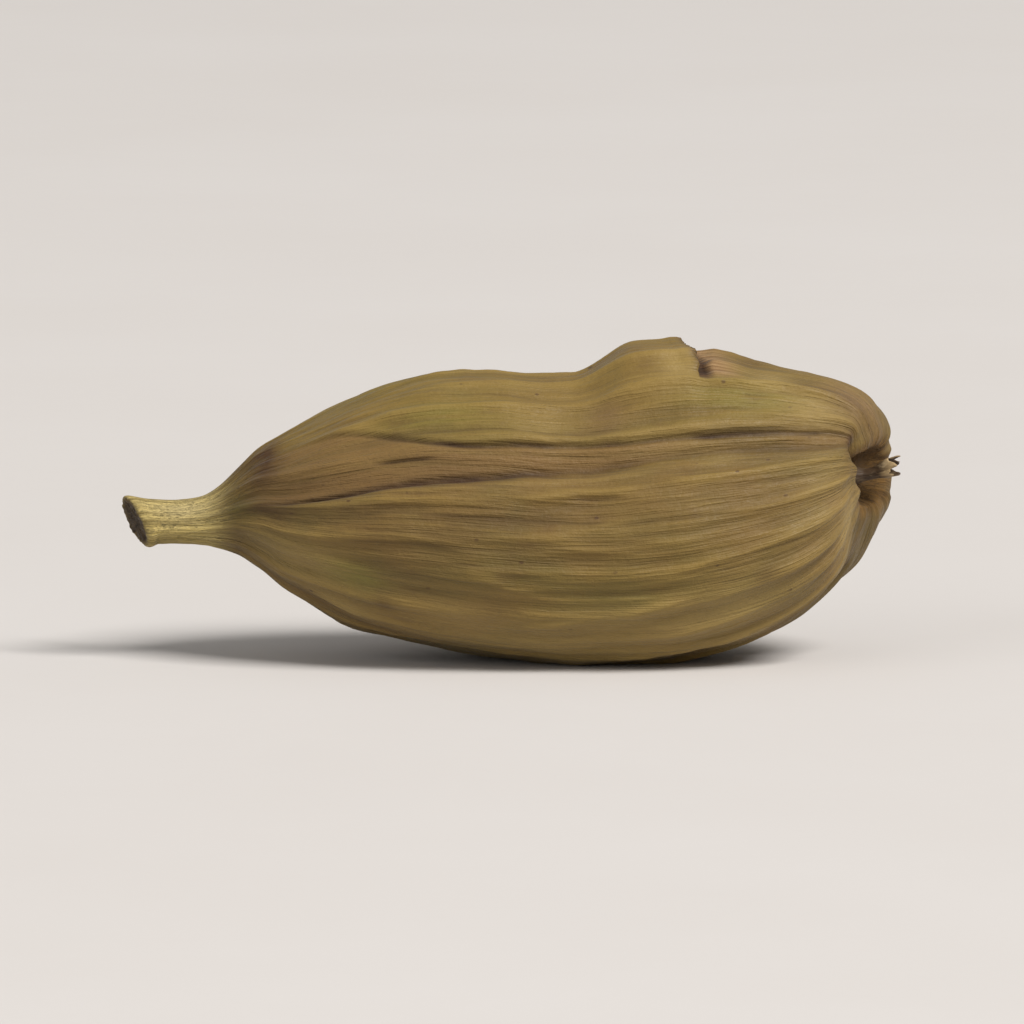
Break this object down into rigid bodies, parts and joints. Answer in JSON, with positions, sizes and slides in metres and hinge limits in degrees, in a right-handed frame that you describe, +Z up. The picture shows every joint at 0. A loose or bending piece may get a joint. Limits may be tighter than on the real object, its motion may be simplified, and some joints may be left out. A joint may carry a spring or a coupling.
{
  "type": "cardamom pod",
  "caption": "Whole dried green cardamom pod lying on its side: a three-lobed, lengthwise-ribbed husk with a short cut stalk at one end and a dry flower stub at the other.",
  "frame": {"origin": "on the surface the pod rests on, below the middle of its bounding box", "axes": "+X along the pod from the cut stalk to the flower stub, +Z up, -Y the side seen in the picture"},
  "size_m": [0.019, 0.0072, 0.0077],
  "materials": {
    "dry_husk": "matte dry husk, olive green to straw, fine lengthwise fibres"
  },
  "bodies": {
    "root": {"cardamom_pod": "dry_husk"}
  },
  "joints": []
}
